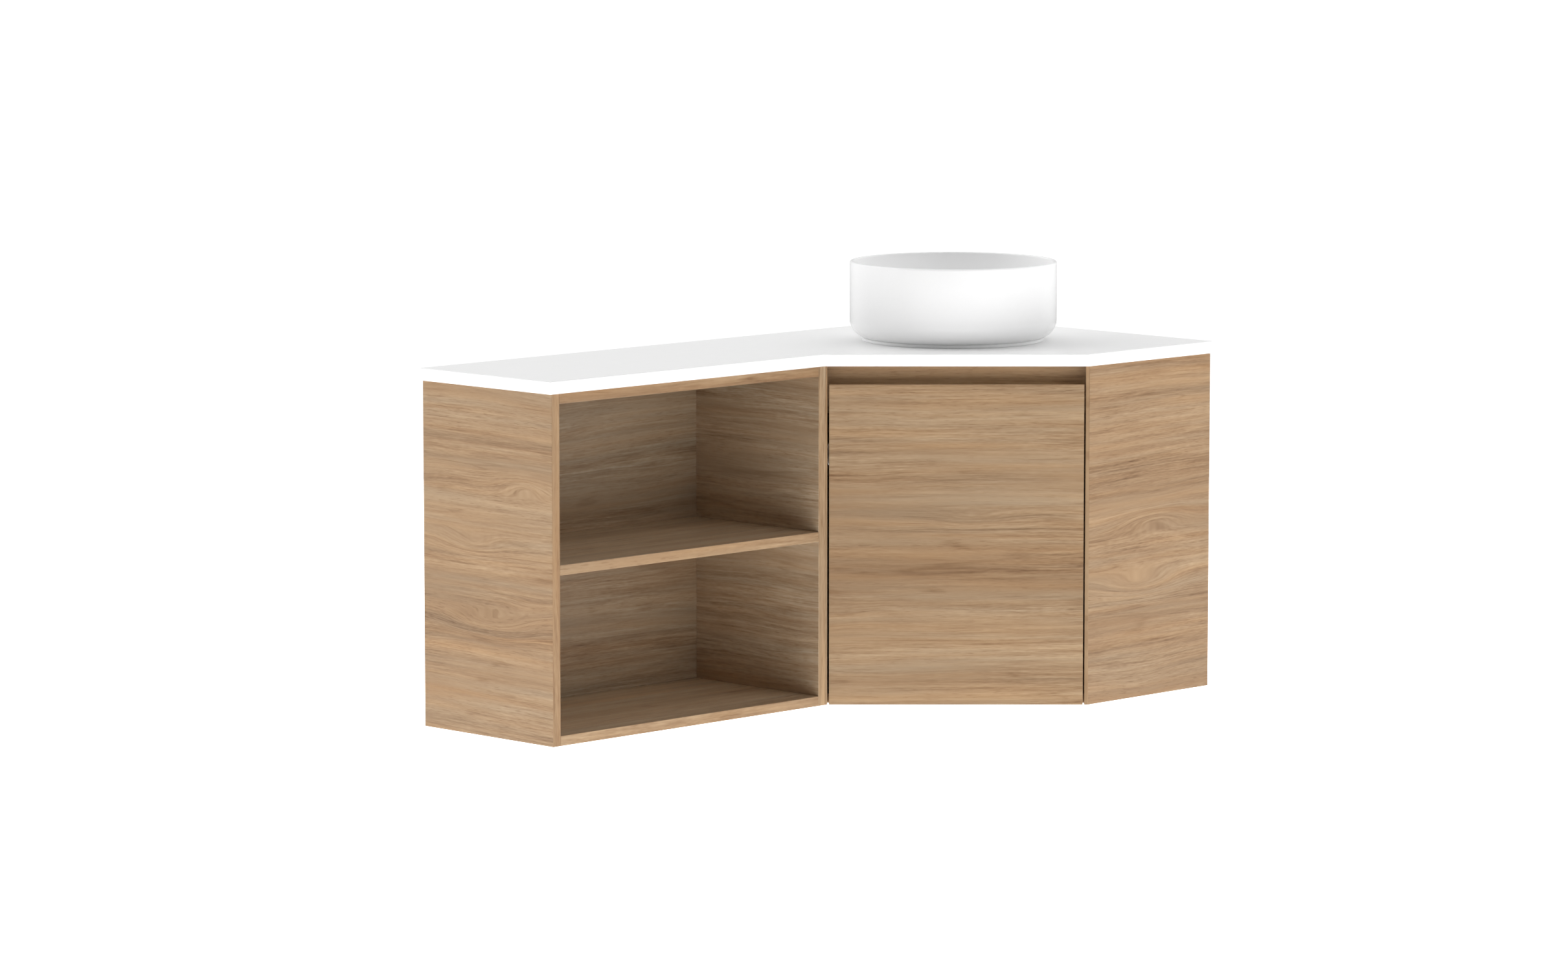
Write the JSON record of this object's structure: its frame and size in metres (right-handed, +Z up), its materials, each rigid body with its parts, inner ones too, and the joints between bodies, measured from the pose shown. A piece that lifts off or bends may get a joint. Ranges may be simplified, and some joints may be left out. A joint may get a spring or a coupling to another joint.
{
  "type": "corner vanity with vessel basin",
  "caption": "Wall-hung oak-look corner vanity with an open shelf wing, a diagonal finger-pull door, a slim white benchtop and a round white vessel basin.",
  "frame": {"origin": "the room corner where both walls meet, at the height of the cabinets' underside", "axes": "+X along the wall that carries the open shelf wing, away from the corner; +Y along the other wall, away from the corner; +Z up. The door faces the room along the bisector of +X and +Y."},
  "size_m": [1.2, 0.6, 0.7],
  "materials": {
    "oak_laminate": "matt laminated board with light oak grain",
    "beech": "plain beech",
    "white_top": "satin white solid surface",
    "white_ceramic": "satin white glaze",
    "chrome_brass": "polished",
    "plated_steel": "nickel plated",
    "white_plastic": "moulded",
    "black_rubber": "soft",
    "soft_clear": "soft translucent"
  },
  "bodies": {
    "cabinet": {"wing_end_panel": "oak_laminate", "wing_inner_panel": "oak_laminate", "wing_top_panel": "oak_laminate", "wing_bottom_panel": "oak_laminate", "wing_shelf": "oak_laminate", "wing_back_panel": "oak_laminate", "corner_side_panel": "oak_laminate", "corner_end_panel": "oak_laminate", "corner_bottom_panel": "oak_laminate", "finger_pull_rail": "oak_laminate", "corner_back_left": "oak_laminate", "corner_back_right": "oak_laminate", "wing_dowels": "beech", "corner_dowels": "beech", "unit_screws": "plated_steel", "hinge_arms": "plated_steel", "hinge_plates": "plated_steel", "hinge_plate_screws": "plated_steel", "benchtop": "white_top", "basin": "white_ceramic", "waste_body": "chrome_brass", "waste_seal": "black_rubber", "backnut_gasket": "black_rubber", "waste_backnut": "chrome_brass", "trap_slip_nut": "white_plastic", "trap_inlet_tube": "white_plastic", "trap_neck_nut": "white_plastic", "trap_body": "white_plastic", "trap_cup": "white_plastic", "trap_outlet_nut": "white_plastic", "outlet_pipe": "white_plastic"},
    "door": {"door_panel": "oak_laminate", "hinge_cups": "plated_steel", "hinge_cup_screws": "plated_steel", "hinge_pins": "plated_steel", "door_bumpers": "soft_clear"},
    "plug": {"waste_plug": "chrome_brass"}
  },
  "joints": [
    {"name": "door_hinge", "type": "hinge", "parent": "cabinet", "child": "door", "pos_m": [0.29911, 0.5794, 0.26], "axis": [0, 0, 1], "range_deg": [0, 95]},
    {"name": "plug_lift", "type": "slide", "parent": "cabinet", "child": "plug", "axis": [0, 0, 1], "range_m": [0, 0.009]}
  ]
}
